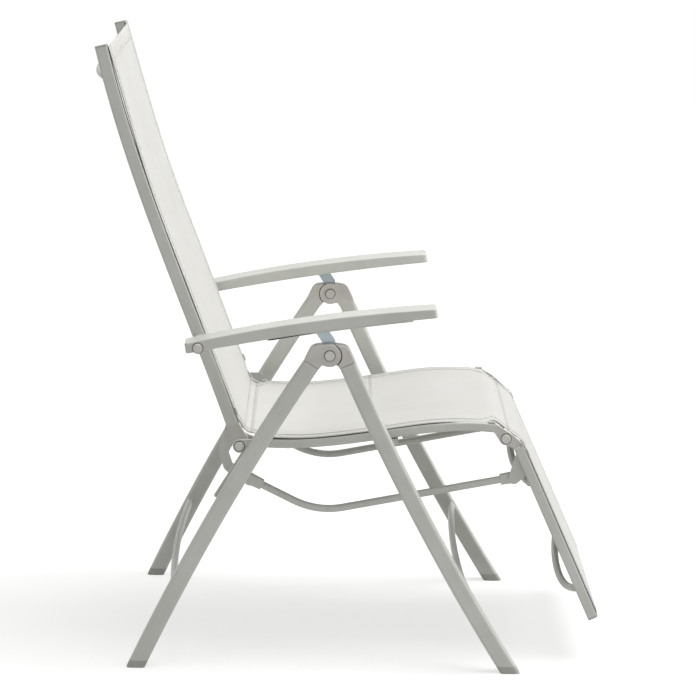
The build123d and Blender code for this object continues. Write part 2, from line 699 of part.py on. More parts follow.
build()
boxes = [part.bounding_box() for part in parts.values()]
front, back = min(box.min.Y for box in boxes), max(box.max.Y for box in boxes)
floor = min(box.min.Z for box in boxes)
for name, part in parts.items():
    placed = part.moved(Location((0, -(front + back) / 2, -floor)))
    placed.label = name
    export_step(placed, "parts/" + name + ".step")
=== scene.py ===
import json
import math
import bmesh
import bpy
from mathutils import Euler, Matrix, Vector


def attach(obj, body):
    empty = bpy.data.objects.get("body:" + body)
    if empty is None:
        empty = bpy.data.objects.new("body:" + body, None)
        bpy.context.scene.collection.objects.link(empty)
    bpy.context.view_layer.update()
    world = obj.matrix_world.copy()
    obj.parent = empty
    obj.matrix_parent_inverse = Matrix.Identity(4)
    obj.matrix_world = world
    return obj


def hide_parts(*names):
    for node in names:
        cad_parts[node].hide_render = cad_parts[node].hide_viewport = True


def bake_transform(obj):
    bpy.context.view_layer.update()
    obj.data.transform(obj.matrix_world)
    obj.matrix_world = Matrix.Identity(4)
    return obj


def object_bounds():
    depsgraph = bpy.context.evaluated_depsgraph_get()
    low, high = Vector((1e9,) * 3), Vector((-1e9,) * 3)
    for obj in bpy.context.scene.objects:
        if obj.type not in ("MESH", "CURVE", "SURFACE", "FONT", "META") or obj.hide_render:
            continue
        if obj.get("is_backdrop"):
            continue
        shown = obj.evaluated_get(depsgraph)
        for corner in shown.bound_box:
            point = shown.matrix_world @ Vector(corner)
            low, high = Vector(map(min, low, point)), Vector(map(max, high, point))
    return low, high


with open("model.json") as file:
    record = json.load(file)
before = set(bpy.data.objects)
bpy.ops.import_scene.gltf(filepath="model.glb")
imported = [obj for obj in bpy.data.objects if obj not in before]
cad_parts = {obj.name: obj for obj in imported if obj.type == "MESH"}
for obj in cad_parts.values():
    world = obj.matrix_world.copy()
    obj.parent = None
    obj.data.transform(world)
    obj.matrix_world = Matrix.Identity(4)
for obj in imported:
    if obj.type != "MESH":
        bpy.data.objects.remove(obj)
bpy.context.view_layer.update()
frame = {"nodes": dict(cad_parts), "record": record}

print("frame loaded,", len(frame["nodes"]), "nodes")


# Places are read off the chair's side view: forward and up in millimetres, then across from the middle.
midDepth = 30.754


def at(forward, up, across=0.0):
    return Vector((across / 1000, (midDepth - forward) / 1000, up / 1000))


def toward(start, end, reach):
    length = math.dist(start, end)
    return tuple(start[i] + (end[i] - start[i]) * reach / length for i in (0, 1))


# The same way moved sideways, to the left of its direction
def beside(points, offset):
    moved = []
    for index, point in enumerate(points):
        before, after = points[max(index - 1, 0)], points[min(index + 1, len(points) - 1)]
        length = math.dist(before, after)
        moved.append((point[0] - (after[1] - before[1]) / length * offset,
                      point[1] + (after[0] - before[0]) / length * offset))
    return moved


# Points a step apart along a line through the given ones
def spaced(points, step):
    out, left = [points[0]], step
    for a, b in zip(points, points[1:]):
        length, gone = math.dist(a, b), 0.0
        while length - gone >= left:
            gone += left
            out.append(toward(a, b, gone))
            left = step
        left -= length - gone
    if math.dist(out[-1], points[-1]) > step / 3:
        out.append(points[-1])
    else:
        out[-1] = points[-1]
    return out


# A smooth line through the points
def smoothed(points, perSpan=10):
    ring = [points[0], *points, points[-1]]
    out = []
    for a, b, c, d in zip(ring, ring[1:], ring[2:], ring[3:]):
        for step in range(perSpan):
            t = step / perSpan
            out.append(tuple(0.5 * (2 * b[i] + (c[i] - a[i]) * t + (2 * a[i] - 5 * b[i] + 4 * c[i] - d[i]) * t * t
                                    + (3 * b[i] - a[i] - 3 * c[i] + d[i]) * t ** 3) for i in (0, 1)))
    return out + [points[-1]]


def newObject(name, mesh, material=None):
    item = bpy.data.objects.new(name, mesh)
    bpy.context.scene.collection.objects.link(item)
    if material is not None:
        mesh.materials.append(material)
    return item


def meshFrom(name, vertices, faces, smooth=True):
    mesh = bpy.data.meshes.new(name)
    mesh.from_pydata([tuple(v) for v in vertices], [], faces)
    mesh.validate()
    if smooth:
        mesh.polygons.foreach_set("use_smooth", [True] * len(mesh.polygons))
    return mesh


# Turns an object and its modifiers into a plain mesh
def plainMesh(item):
    bpy.context.view_layer.update()
    made = bpy.data.meshes.new_from_object(item.evaluated_get(bpy.context.evaluated_depsgraph_get()))
    item.modifiers.clear()
    item.data = made
    return item


# Camera, matched to the legs, hubs and hinges of the photograph
camera = {"place": (-5.2356, 0.0422, 1.5620), "turn": (78.672, -1.101, -90.271), "lens": 152.28, "sensor": 36.0,
          "far": 120}
view = bpy.data.objects.new("camera", bpy.data.cameras.new("camera"))
bpy.context.scene.collection.objects.link(view)
view.location = camera["place"]
view.rotation_euler = Euler([math.radians(angle) for angle in camera["turn"]])
view.data.lens = camera["lens"]
view.data.sensor_width = camera["sensor"]
view.data.sensor_fit = "HORIZONTAL"
view.data.clip_end = camera["far"]
bpy.context.scene.camera = view
bpy.context.scene.view_settings.view_transform = "Standard"
print("camera set")


# Materials
# An sRGB hex value as the linear colour that Blender works in
def linear(code):
    parts = [int(code[i:i + 2], 16) / 255 for i in (1, 3, 5)]
    return tuple(p / 12.92 if p <= 0.04045 else ((p + 0.055) / 1.055) ** 2.4 for p in parts) + (1.0,)


def addNode(tree, kind, inputs=None, **settings):
    node = tree.nodes.new(kind)
    for name, value in settings.items():
        setattr(node, name, value)
    for name, value in (inputs or {}).items():
        if isinstance(value, bpy.types.NodeSocket):
            tree.links.new(value, node.inputs[name])
        else:
            node.inputs[name].default_value = value
    return node


def startMaterial(name, roughness, metallic=0.0, ior=1.5):
    material = bpy.data.materials.new(name)
    material.use_nodes = True
    tree = material.node_tree
    shader = tree.nodes["Principled BSDF"]
    shader.inputs["Roughness"].default_value = roughness
    shader.inputs["Metallic"].default_value = metallic
    shader.inputs["IOR"].default_value = ior
    return material, tree, shader


# A coated or moulded surface: a faint cloudiness, a fine grain and uneven gloss
def paintedSurface(name, low, high, roughness, metallic, grain, grainHeight, cloud=14.0, spread=0.06, ior=1.5):
    material, tree, shader = startMaterial(name, roughness, metallic, ior)
    place = addNode(tree, "ShaderNodeTexCoord").outputs["Object"]
    clouds = addNode(tree, "ShaderNodeTexNoise", {"Vector": place, "Scale": cloud, "Detail": 3.0, "Roughness": 0.55})
    tint = addNode(tree, "ShaderNodeValToRGB", {"Fac": clouds.outputs["Fac"]})
    tint.color_ramp.elements[0].position, tint.color_ramp.elements[1].position = 0.35, 0.68
    tint.color_ramp.elements[0].color, tint.color_ramp.elements[1].color = linear(low), linear(high)
    tree.links.new(tint.outputs["Color"], shader.inputs["Base Color"])
    speck = addNode(tree, "ShaderNodeTexNoise", {"Vector": place, "Scale": 1000 / grain, "Detail": 2.0})
    gloss = addNode(tree, "ShaderNodeMapRange", {"Value": speck.outputs["Fac"], "From Min": 0.3, "From Max": 0.7,
                                                 "To Min": roughness - spread, "To Max": roughness + spread})
    tree.links.new(gloss.outputs["Result"], shader.inputs["Roughness"])
    bump = addNode(tree, "ShaderNodeBump", {"Height": speck.outputs["Fac"], "Strength": 0.35,
                                            "Distance": grainHeight / 1000})
    tree.links.new(bump.outputs["Normal"], shader.inputs["Normal"])
    return material


# Powder-coated aluminium tube: matt light grey, with the faint orange peel that the oven leaves (real peel about
# 1 mm, drawn at 2.5 mm so that it shows)
powderCoat = paintedSurface("powder coated aluminium", "#cdcec7", "#d5d6d0", 0.46, 0.15, 2.5, 0.06)
# Die-cast aluminium hinge pieces under the same coat: a rounder, slightly rougher skin
castHinge = paintedSurface("coated die casting", "#cdcac4", "#d8d5d0", 0.5, 0.15, 1.8, 0.1, cloud=30.0)
# Injection-moulded polypropylene caps and clips: dull, a touch warmer than the paint
mouldedCap = paintedSurface("moulded polypropylene cap", "#bbbbb5", "#c4c4be", 0.58, 0.0, 1.2, 0.08, cloud=25.0)
# Upset aluminium rivets: bare, turned on their heads, a satin grey
rivetMetal = paintedSurface("satin aluminium rivet", "#c6c4bd", "#d0cec8", 0.4, 0.35, 0.9, 0.05, cloud=80.0)
# Black acetal toothed bars, and runners under the armrests: slick and dark
blackAcetal = paintedSurface("black acetal", "#232425", "#2d2e2f", 0.38, 0.0, 1.5, 0.04, cloud=30.0)
# Dark rubbery washers under the rivets, and painted shade: the dark strips in the shaded openings of the rails'
# grooves
washerAndGrooveShade = paintedSurface("dark washer and painted groove shade", "#3a3b3b", "#4a4b4b", 0.6, 0.0, 1.0, 0.05, cloud=60.0)


# Zinc-plated pressed steel: bluish, with fine drawing lines along its length
def brushedSteel():
    material, tree, shader = startMaterial("zinc plated steel", 0.3, 0.9)
    place = addNode(tree, "ShaderNodeTexCoord").outputs["Object"]
    lines = addNode(tree, "ShaderNodeMapping", {"Vector": place, "Scale": (1500.0, 90.0, 1500.0)})
    drawn = addNode(tree, "ShaderNodeTexNoise", {"Vector": lines.outputs["Vector"], "Scale": 1.0, "Detail": 3.0})
    clouds = addNode(tree, "ShaderNodeTexNoise", {"Vector": place, "Scale": 45.0, "Detail": 2.0})
    tint = addNode(tree, "ShaderNodeValToRGB", {"Fac": clouds.outputs["Fac"]})
    tint.color_ramp.elements[0].color, tint.color_ramp.elements[1].color = linear("#96a2a8"), linear("#acb6bb")
    tree.links.new(tint.outputs["Color"], shader.inputs["Base Color"])
    gloss = addNode(tree, "ShaderNodeMapRange", {"Value": drawn.outputs["Fac"], "To Min": 0.22, "To Max": 0.42})
    tree.links.new(gloss.outputs["Result"], shader.inputs["Roughness"])
    bump = addNode(tree, "ShaderNodeBump", {"Height": drawn.outputs["Fac"], "Strength": 0.25, "Distance": 0.00005})
    tree.links.new(bump.outputs["Normal"], shader.inputs["Normal"])
    return material


platedSteel = brushedSteel()


# PVC-coated polyester mesh, plain weave. The real yarns are about 1 mm apart; the weave is drawn coarser, so that
# it shows at the photograph's distance. Its pattern follows the cloth through its own UV map, in metres.
def wovenSling(name, low, high, pitch):
    material, tree, shader = startMaterial(name, 0.62)
    cloth = addNode(tree, "ShaderNodeUVMap", uv_map="cloth").outputs["UV"]
    split = addNode(tree, "ShaderNodeSeparateXYZ", {"Vector": cloth})
    turn = 2 * math.pi / (pitch / 1000)
    waves = []
    for axis in ("X", "Y"):
        phase = addNode(tree, "ShaderNodeMath", {0: split.outputs[axis], 1: turn}, operation="MULTIPLY")
        waves.append(addNode(tree, "ShaderNodeMath", {0: phase.outputs[0]}, operation="SINE").outputs[0])
    over = addNode(tree, "ShaderNodeMath", {0: waves[0], 1: waves[1]}, operation="MULTIPLY").outputs[0]
    ribs = addNode(tree, "ShaderNodeMath", {0: waves[0], 1: 0.35}, operation="MULTIPLY").outputs[0]
    both = addNode(tree, "ShaderNodeMath", {0: over, 1: ribs}, operation="ADD").outputs[0]
    weave = addNode(tree, "ShaderNodeMapRange", {"Value": both, "From Min": -1.35, "From Max": 1.35})
    weave = weave.outputs["Result"]
    place = addNode(tree, "ShaderNodeTexCoord").outputs["Object"]
    clouds = addNode(tree, "ShaderNodeTexNoise", {"Vector": place, "Scale": 7.0, "Detail": 3.0})
    mixed = addNode(tree, "ShaderNodeMath", {0: weave, 1: clouds.outputs["Fac"]}, operation="MULTIPLY_ADD")
    mixed.inputs[2].default_value = 0.25
    tint = addNode(tree, "ShaderNodeValToRGB", {"Fac": mixed.outputs[0]})
    tint.color_ramp.elements[0].position, tint.color_ramp.elements[1].position = 0.2, 0.85
    tint.color_ramp.elements[0].color, tint.color_ramp.elements[1].color = linear(low), linear(high)
    tree.links.new(tint.outputs["Color"], shader.inputs["Base Color"])
    shader.inputs["Sheen Weight"].default_value = 0.15
    shader.inputs["Sheen Roughness"].default_value = 0.5
    gloss = addNode(tree, "ShaderNodeMapRange", {"Value": weave, "To Min": 0.7, "To Max": 0.52})
    tree.links.new(gloss.outputs["Result"], shader.inputs["Roughness"])
    bump = addNode(tree, "ShaderNodeBump", {"Height": weave, "Strength": 0.5, "Distance": 0.0005})
    tree.links.new(bump.outputs["Normal"], shader.inputs["Normal"])
    return material


slingMesh = wovenSling("woven polyester mesh", "#cccbc6", "#e2e1dd", 5.0)
# Bonded polyester sewing thread: a little brighter than the cloth
sewingThread = paintedSurface("bonded sewing thread", "#d6d6d1", "#e6e6e1", 0.5, 0.0, 0.6, 0.1, cloud=200.0)

finishOf = {"frame_paint": powderCoat, "hub_cast": castHinge, "bright_steel": platedSteel, "cap_plastic": mouldedCap,
            "dark_plastic": blackAcetal, "sling_cloth": slingMesh}
rivetNodes = ("hub_bolts", "back_hinge_pins", "knee_pins", "crank_pins", "arm_bolts", "arm_bushes")
for part in frame["record"]["subparts"]:
    for slot in frame["nodes"][part["node"]].material_slots:
        slot.material = rivetMetal if part["node"] in rivetNodes else finishOf[part["material_slot"]]


# Sling: one woven panel in five lengths, joined near the back hinge, across the seat and at the knee
sling = {"thick": 1.6, "fullHalf": 236.0, "hingeHalf": 207.0, "row": 8.0, "columns": 36,
         "backWay": ((-166.5, 420), (-243.5, 621), (-325.8, 838), (-397, 1073.5)), "backRaise": 12.0,
         "headShort": 3.0, "seatWay": ((-132, 391), (-35, 390.5), (75, 404.5), (190, 422), (290, 423)),
         "seatRaise": 9.0, "footWay": ((333.0, 389.0), (472.0, 85.0)), "footRaise": 10.0, "toeShort": 5.0,
         "hinge": (-153.0, 394.0), "knee": (310.0, 405.0), "cornerRound": 22.0, "kneeRound": 12.0, "split": 75.0,
         "cornerGap": 4.0, "kneeGap": 2.0, "kneeSteps": 5}
# The cloth is narrow within these reaches of the hinges and widens from one share of the reach over the next
waist = {"hingeReach": 34.0, "kneeReach": 44.0, "from": 0.72, "over": 0.42}
# How far the middle hangs back on each length, where along it that starts or ends, and how round it is
hang = {"back": 5.0, "backTo": 0.94, "backStretch": 1.06, "backRound": 0.7, "seat": 6.0, "rearFrom": 0.12,
        "frontTo": 0.8, "foot": 3.0, "footRound": 0.8, "acrossRound": 1.3}


# Arc that rounds a corner, as points
def filletWay(before, corner, after, radius, steps=9):
    a, b = Vector(before) - Vector(corner), Vector(after) - Vector(corner)
    half = a.angle(b) / 2
    reach = radius / math.tan(half)
    start, end = Vector(corner) + a.normalized() * reach, Vector(corner) + b.normalized() * reach
    centre = Vector(corner) + (a.normalized() + b.normalized()).normalized() * (radius / math.sin(half))
    points = []
    for step in range(steps + 1):
        chord = start.lerp(end, step / steps) - centre
        points.append(tuple(centre + chord.normalized() * radius))
    return points


# Side-view ways of the five lengths: back, corner at the hinge, rear seat, front seat and leg rest
def slingWays():
    backLine = beside(smoothed(list(sling["backWay"])[::-1]), sling["backRaise"])
    top = toward(backLine[0], backLine[1], sling["headShort"])
    seatLine = beside(smoothed(list(sling["seatWay"])), sling["seatRaise"])
    footLine = beside(list(sling["footWay"]), sling["footRaise"])
    toe = toward(footLine[1], footLine[0], sling["toeShort"])
    # Corner over the back hinge: where the back's line meets the seat's
    over, foot = backLine[-2], backLine[-1]
    down = (foot[1] - seatLine[0][1]) / (over[1] - foot[1])
    corner = (foot[0] + (foot[0] - over[0]) * down, seatLine[0][1])
    bend = filletWay(foot, corner, seatLine[4], sling["cornerRound"])
    middle = len(bend) // 2
    backUpper = [point for point in backLine[1:] if point[1] > bend[0][1] + sling["cornerGap"]]
    seatAfter = [point for point in seatLine if point[0] > bend[-1][0] + sling["cornerGap"]]
    rear = [point for point in seatAfter if point[0] < sling["split"]]
    front = [point for point in seatAfter if point[0] > sling["split"]]
    cut = (sling["split"], (rear[-1][1] + front[0][1]) / 2)
    # Over the knee the cloth runs straight from the end of one pair of rails to the start of the next
    ease = filletWay(front[-3], front[-1], footLine[0], sling["kneeRound"], sling["kneeSteps"])
    fall = filletWay(front[-1], footLine[0], footLine[1], sling["kneeRound"], sling["kneeSteps"])
    half = ((ease[-1][0] + fall[0][0]) / 2, (ease[-1][1] + fall[0][1]) / 2)
    front = [point for point in front if point[0] < ease[0][0] - sling["kneeGap"]]
    ways = {"back": [top, *backUpper, *bend[:middle - 1]], "corner": bend[middle - 2:middle + 3],
            "rearSeat": [*bend[middle + 2:], *rear, cut],
            "frontSeat": [cut, *front, *ease, half], "legrest": [half, *fall, toe]}
    return {name: spaced(way, sling["row"]) for name, way in ways.items()}


ways = slingWays()
wayLength = {name: sum(math.dist(a, b) for a, b in zip(way, way[1:])) for name, way in ways.items()}


# Half width of the cloth at a place: over both rails, and narrower where it passes a hinge
def edgeHalf(point):
    near = min(math.dist(point, sling["hinge"]) / waist["hingeReach"],
               math.dist(point, sling["knee"]) / waist["kneeReach"])
    ease = min(max((near - waist["from"]) / waist["over"], 0.0), 1.0)
    ease = ease * ease * (3 - 2 * ease)
    return sling["hingeHalf"] + (sling["fullHalf"] - sling["hingeHalf"]) * ease


# How far the middle of a length hangs back, by share of that length. The corner stays flat.
def sagAt(name, share):
    if name == "back" and share < hang["backTo"]:
        return hang["back"] * math.sin(math.pi * min(1.0, share * hang["backStretch"])) ** hang["backRound"]
    if name == "rearSeat":
        return hang["seat"] * max(0.0, share - hang["rearFrom"]) / (1 - hang["rearFrom"])
    if name == "frontSeat":
        return hang["seat"] * max(0.0, hang["frontTo"] - share) / hang["frontTo"]
    if name == "legrest":
        return hang["foot"] * max(0.0, math.sin(math.pi * share)) ** hang["footRound"]
    return 0.0


# The cloth of one length, along its side-view way. start is how far along the whole sling it begins.
def clothMesh(name, way, start, material):
    columns = sling["columns"]
    vertices, faces, uvs, runs = [], [], [], [start]
    for a, b in zip(way, way[1:]):
        runs.append(runs[-1] + math.dist(a, b))
    low = beside(way, -1.0)
    for index, point in enumerate(way):
        half = edgeHalf(point)
        share = (runs[index] - start) / (runs[-1] - start)
        side = (low[index][0] - point[0], low[index][1] - point[1])
        for column in range(columns + 1):
            across = -1 + 2 * column / columns
            droop = sagAt(name, share) * (1 - across ** 2) ** hang["acrossRound"]
            vertices.append(at(point[0] + side[0] * droop, point[1] + side[1] * droop, half * across))
            uvs.append((half * across / 1000, runs[index] / 1000))
    for row in range(len(way) - 1):
        for column in range(columns):
            first = row * (columns + 1) + column
            faces.append((first, first + columns + 1, first + columns + 2, first + 1))
    mesh = meshFrom(name + "Sling", vertices, faces)
    layer = mesh.uv_layers.new(name="cloth")
    for loop in mesh.loops:
        layer.data[loop.index].uv = uvs[loop.vertex_index]
    return newObject(name + "Sling", mesh, material)


def asSheet(item, replaced):
    thick = item.modifiers.new("thickness", "SOLIDIFY")
    thick.thickness, thick.offset = sling["thick"] / 1000, 0
    plainMesh(item)
    if replaced:
        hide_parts(replaced)


start = 0.0
panels = {}
for name, way in ways.items():
    panels[name] = clothMesh(name, way, start, slingMesh)
    start += wayLength[name]
print("sling panels laid,", round(start), "mm long")


# Stitching: two rows of lock stitches along each folded edge, made where the cloth lies
stitching = {"pitch": 5.0, "long": 3.6, "thick": 0.45, "inset": (20.0, 25.0), "above": 0.3, "topSteps": 40}


def stitchTree():
    tree = bpy.data.node_groups.new("stitch rows", "GeometryNodeTree")
    for name, kind, way in (("Geometry", "NodeSocketGeometry", "INPUT"), ("Pitch", "NodeSocketFloat", "INPUT"),
                            ("Stitch Length", "NodeSocketFloat", "INPUT"), ("Thread", "NodeSocketFloat", "INPUT"),
                            ("Thread Material", "NodeSocketMaterial", "INPUT"),
                            ("Geometry", "NodeSocketGeometry", "OUTPUT")):
        tree.interface.new_socket(name, in_out=way, socket_type=kind)
    given = addNode(tree, "NodeGroupInput").outputs
    curve = addNode(tree, "GeometryNodeMeshToCurve", {"Mesh": given["Geometry"]})
    dots = addNode(tree, "GeometryNodeCurveToPoints", {"Curve": curve.outputs["Curve"], "Length": given["Pitch"]},
                   mode="LENGTH")
    half = addNode(tree, "ShaderNodeMath", {0: given["Stitch Length"], 1: 0.5}, operation="MULTIPLY").outputs[0]
    back = addNode(tree, "ShaderNodeMath", {0: half, 1: -1.0}, operation="MULTIPLY").outputs[0]
    endA = addNode(tree, "ShaderNodeCombineXYZ", {"Z": back})
    endB = addNode(tree, "ShaderNodeCombineXYZ", {"Z": half})
    line = addNode(tree, "GeometryNodeCurvePrimitiveLine", {"Start": endA.outputs[0], "End": endB.outputs[0]})
    ring = addNode(tree, "GeometryNodeCurvePrimitiveCircle", {"Resolution": 5, "Radius": given["Thread"]})
    thread = addNode(tree, "GeometryNodeCurveToMesh", {"Curve": line.outputs[0], "Profile Curve": ring.outputs[0],
                                                       "Fill Caps": True})
    placed = addNode(tree, "GeometryNodeInstanceOnPoints", {"Points": dots.outputs["Points"],
                                                            "Instance": thread.outputs["Mesh"],
                                                            "Rotation": dots.outputs["Rotation"]})
    real = addNode(tree, "GeometryNodeRealizeInstances", {"Geometry": placed.outputs[0]})
    dressed = addNode(tree, "GeometryNodeSetMaterial", {"Geometry": real.outputs[0],
                                                        "Material": given["Thread Material"]})
    addNode(tree, "NodeGroupOutput", {"Geometry": dressed.outputs[0]})
    return tree


def setInputs(modifier, values):
    for socket in modifier.node_group.interface.items_tree:
        if socket.in_out == "INPUT" and socket.name in values:
            modifier[socket.identifier] = values[socket.name]


# Runs a geometry tree on an object and keeps the result as a plain mesh
def grown(item, tree, values):
    modifier = item.modifiers.new("shape", "NODES")
    modifier.node_group = tree
    setInputs(modifier, values)
    return plainMesh(item)


stitchRows = stitchTree()


def stitchLine(name, lines):
    vertices, edges = [], []
    for line in lines:
        first = len(vertices)
        vertices += [tuple(point) for point in line]
        edges += [(first + i, first + i + 1) for i in range(len(line) - 1)]
    mesh = bpy.data.meshes.new(name)
    mesh.from_pydata(vertices, edges, [])
    item = newObject(name, mesh)
    return grown(item, stitchRows, {"Pitch": stitching["pitch"] / 1000, "Stitch Length": stitching["long"] / 1000,
                                    "Thread": stitching["thick"] / 1000, "Thread Material": sewingThread})


# Two rows beside each edge, on the side that is sat on, and two across the top of the back
def stitchesFor(name, way, lift):
    above = beside(way, lift)
    lines = []
    for sign in (-1, 1):
        for inset in stitching["inset"]:
            lines.append([at(*point, sign * (edgeHalf(flat) - inset)) for point, flat in zip(above, way)])
    if name == "back":
        for inset in stitching["inset"]:
            row = beside([toward(way[0], way[3], inset), way[4]], lift)[0]
            lines.append([at(*row, edgeHalf(row) * (2 * step / stitching["topSteps"] - 1))
                          for step in range(1, stitching["topSteps"])])
    return stitchLine(name + "Stitches", lines)


surface = sling["thick"] / 2 + stitching["above"]
stitches = {name: stitchesFor(name, ways[name], surface) for name in panels}

# The CAD cloth that each length replaces, hidden once the length is thickened
stands = {"back": "back_sling", "rearSeat": "seat_sling", "legrest": "legrest_sling"}
for name, item in panels.items():
    asSheet(item, stands.get(name))
    for piece in (item, stitches[name]):
        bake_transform(piece)
print("sling stitched and hung")


# Rivets: a dark ring under each head and a low dome on it, placed on the pins and bolts of both sides
rivet = {"headRound": 7.9, "topRound": 6.9, "dome": 0.8, "ringRound": 9.7, "ringThick": 0.5, "sides": 32}
# By body: forward, up, how far out the head and its ring are across the chair, and the size
rivetSpots = {
    "rear_legs": [(0, 561, 312.2, 310.0, 1), (0, 561, 282.4, 285.0, 1)],
    "hinge_pins": [(-153, 394, 287.2, 285.0, 1), (-153, 394, 219.4, 222.0, 0.76)],
    "knee_hinge_pins": [(310, 405, 242.2, 240.0, 1), (310, 405, 219.4, 222.0, 0.76)],
    "arm_bush_pair": [(-225.6, 570.3, 312.6, 310.4, 1)],
    "rod_pins": [(-136, 318, 198.6, 201.0, 0.76)],
    "legrest": [(327, 329, 198.6, 201.0, 0.76)]}


def rivetTree():
    tree = bpy.data.node_groups.new("rivet heads", "GeometryNodeTree")
    floats = ("Head Radius", "Top Radius", "Dome", "Ring Radius", "Ring Thickness")
    tree.interface.new_socket("Geometry", in_out="INPUT", socket_type="NodeSocketGeometry")
    for name in floats:
        tree.interface.new_socket(name, in_out="INPUT", socket_type="NodeSocketFloat")
    tree.interface.new_socket("Sides", in_out="INPUT", socket_type="NodeSocketInt")
    tree.interface.new_socket("Head Material", in_out="INPUT", socket_type="NodeSocketMaterial")
    tree.interface.new_socket("Ring Material", in_out="INPUT", socket_type="NodeSocketMaterial")
    tree.interface.new_socket("Geometry", in_out="OUTPUT", socket_type="NodeSocketGeometry")
    given = addNode(tree, "NodeGroupInput").outputs
    head = addNode(tree, "GeometryNodeMeshCone", {"Vertices": given["Sides"], "Radius Top": given["Top Radius"],
                                                  "Radius Bottom": given["Head Radius"], "Depth": given["Dome"]})
    ring = addNode(tree, "GeometryNodeMeshCylinder", {"Vertices": given["Sides"], "Radius": given["Ring Radius"],
                                                      "Depth": given["Ring Thickness"]})
    shapes = []
    for mesh, material, wanted in ((head, "Head Material", 1.0), (ring, "Ring Material", 0.0)):
        kind = addNode(tree, "GeometryNodeInputNamedAttribute", {"Name": "isHead"}, data_type="FLOAT")
        same = addNode(tree, "FunctionNodeCompare", {"A": kind.outputs["Attribute"], "B": wanted, "Epsilon": 0.1},
                       data_type="FLOAT", operation="EQUAL")
        size = addNode(tree, "GeometryNodeInputNamedAttribute", {"Name": "size"}, data_type="FLOAT")
        turn = addNode(tree, "GeometryNodeInputNamedAttribute", {"Name": "turn"}, data_type="FLOAT")
        tilt = addNode(tree, "ShaderNodeCombineXYZ", {"Y": turn.outputs["Attribute"]})
        placed = addNode(tree, "GeometryNodeInstanceOnPoints", {
            "Points": given["Geometry"], "Selection": same.outputs["Result"], "Instance": mesh.outputs["Mesh"],
            "Rotation": tilt.outputs["Vector"], "Scale": size.outputs["Attribute"]})
        real = addNode(tree, "GeometryNodeRealizeInstances", {"Geometry": placed.outputs[0]})
        shapes.append(addNode(tree, "GeometryNodeSetMaterial", {"Geometry": real.outputs[0],
                                                                "Material": given[material]}).outputs[0])
    joined = addNode(tree, "GeometryNodeJoinGeometry")
    for shape in shapes:
        tree.links.new(shape, joined.inputs[0])
    addNode(tree, "NodeGroupOutput", {"Geometry": joined.outputs[0]})
    return tree


rivetHeads = rivetTree()
for body, spots in rivetSpots.items():
    places, values = [], {"isHead": [], "size": [], "turn": []}
    for forward, up, face, seat, size in spots:
        outward = 1 if face > seat else -1
        for sign in (-1, 1):
            for across, isHead in ((face, 1.0), (seat + outward * rivet["ringThick"] / 2, 0.0)):
                places.append(at(forward, up, sign * across))
                values["isHead"].append(isHead)
                values["size"].append(size)
                values["turn"].append(sign * outward * math.pi / 2)
    dots = meshFrom(body + "RivetSpots", places, [], False)
    for name, column in values.items():
        dots.attributes.new(name, "FLOAT", "POINT").data.foreach_set("value", column)
    heads = grown(newObject(body + "Rivets", dots), rivetHeads, {
        "Head Radius": rivet["headRound"] / 1000, "Top Radius": rivet["topRound"] / 1000,
        "Dome": rivet["dome"] / 1000, "Ring Radius": rivet["ringRound"] / 1000,
        "Ring Thickness": rivet["ringThick"] / 1000, "Sides": rivet["sides"],
        "Head Material": rivetMetal, "Ring Material": washerAndGrooveShade})
    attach(heads, body)
print("rivets set")


# Weld beads where the round and oval bars meet the tubes
weld = {"bead": 1.3, "around": 28, "section": 8, "ripple": 0.12, "ripples": 9, "flat": 0.4,
        "spots": {"rear_legs": [(-264, 147, 285, 6, 8)], "front_legs": [(242, 150, 285, 6, 8)],
                  "seat": [(-70, 383.5, 222, 5.5, 5.5), (262, 418.5, 222, 5.5, 5.5)]}}


def beadRings(name, spots):
    vertices, faces = [], []
    around, section = weld["around"], weld["section"]
    for forward, up, across, halfLong, halfHigh in spots:
        for sign in (-1, 1):
            first = len(vertices)
            for i in range(around):
                angle = 2 * math.pi * i / around
                for j in range(section):
                    tilt = 2 * math.pi * j / section
                    out = weld["bead"] * math.cos(tilt) * (1 + weld["ripple"] * math.sin(weld["ripples"] * angle))
                    vertices.append(at(forward + (halfLong + out) * math.cos(angle),
                                       up + (halfHigh + out) * math.sin(angle),
                                       sign * (across - weld["bead"] * weld["flat"] * math.sin(tilt))))
            for i in range(around):
                for j in range(section):
                    a, b = first + i * section, first + (i + 1) % around * section
                    ring = (a + j, b + j, b + (j + 1) % section, a + (j + 1) % section)
                    faces.append(ring if sign < 0 else ring[::-1])
    return newObject(name, meshFrom(name, vertices, faces), powderCoat)


for body, spots in weld["spots"].items():
    beads = beadRings(body + "Welds", spots)
    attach(beads, body)
print("welds laid")


# Painted shade along the rails: thin dark strips in the shaded opening of the sling's groove beside the cloth's edge
trim = {"inner": 235.4, "outer": 238.4, "thick": 0.5,
        "rails": {"back": (sling["backWay"], -11.4), "seat": (sling["seatWay"], 8.4),
                  "legrest": (sling["footWay"], 9.4)}}


# A flat closed band along a side-view way, on the given sides, with the same section all along
def bandMesh(name, way, low, high, inner, outer, sides=(-1, 1)):
    under, over = beside(way, low), beside(way, high)
    vertices, faces = [], []
    for sign in sides:
        first = len(vertices)
        for a, b in zip(under, over):
            vertices += [at(*a, sign * inner), at(*a, sign * outer), at(*b, sign * outer), at(*b, sign * inner)]
        count = len(way)
        for i in range(count - 1):
            for j in range(4):
                a, b = first + 4 * i + j, first + 4 * i + (j + 1) % 4
                faces.append((a, b, b + 4, a + 4))
        faces.append(tuple(first + j for j in (3, 2, 1, 0)))
        faces.append(tuple(first + 4 * (count - 1) + j for j in range(4)))
    mesh = meshFrom(name, vertices, faces, False)
    shape = bmesh.new()
    shape.from_mesh(mesh)
    bmesh.ops.recalc_face_normals(shape, faces=shape.faces)
    shape.to_mesh(mesh)
    shape.free()
    return mesh


